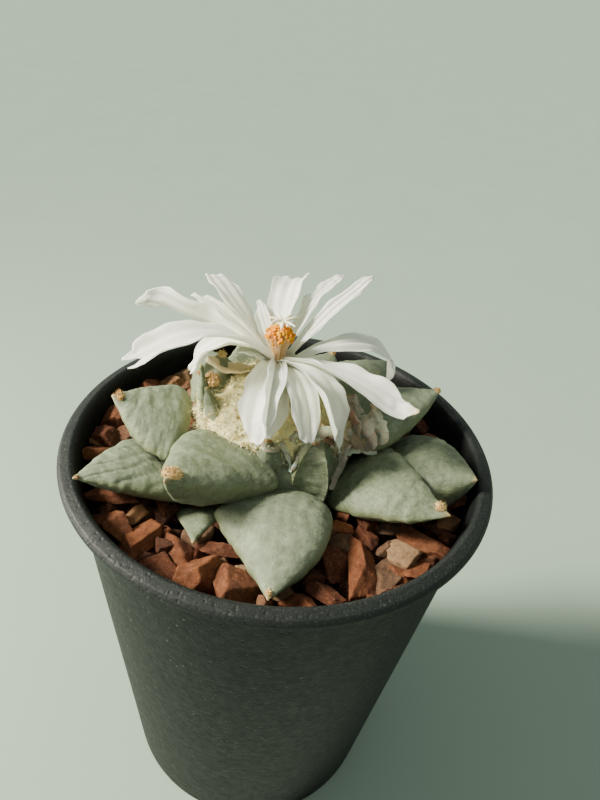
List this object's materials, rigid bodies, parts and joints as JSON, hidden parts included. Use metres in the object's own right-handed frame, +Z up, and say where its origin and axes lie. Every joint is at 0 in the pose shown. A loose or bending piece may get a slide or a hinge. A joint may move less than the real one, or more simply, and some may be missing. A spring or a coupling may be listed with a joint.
{
  "type": "potted ariocarpus retusus",
  "caption": "Flowering living rock cactus: a rosette of grey-green triangular tubercles with a woolly crown and a white flower, in a round black nursery pot dressed with red stone.",
  "frame": {"origin": "middle of the pot's base, on the plane of its foot ring", "axes": "+Z up along the pot's axis; -Y is the side of the plant that the picture looks at; +X is to the right in it"},
  "size_m": [0.085, 0.085, 0.125],
  "materials": {
    "pot_plastic": "matt black plastic, dusty and scuffed, with fine pits",
    "soil": "dark mineral potting mix",
    "gravel": "brick-red to tan crushed stone, rough and dry",
    "flesh": "glaucous grey-green skin, finely wrinkled, with a waxy bloom",
    "petal": "thin white tepals, silky and slightly translucent, with faint pink veins",
    "stamen": "pale filaments with grainy orange anthers",
    "pistil": "pale cream style and stigma lobes",
    "withered": "dry papery remains of old flowers, grey-brown",
    "wool": "cream felted wool"
  },
  "bodies": {
    "root": {"pot": "pot_plastic", "soil": "soil", "gravel": "gravel", "cactus_body": "flesh", "bloom": "petal", "stamens": "stamen", "pistil": "pistil", "withered_flower_right": "withered", "withered_flower_front": "withered", "withered_shred": "withered", "crown_wool": "wool"}
  },
  "joints": []
}
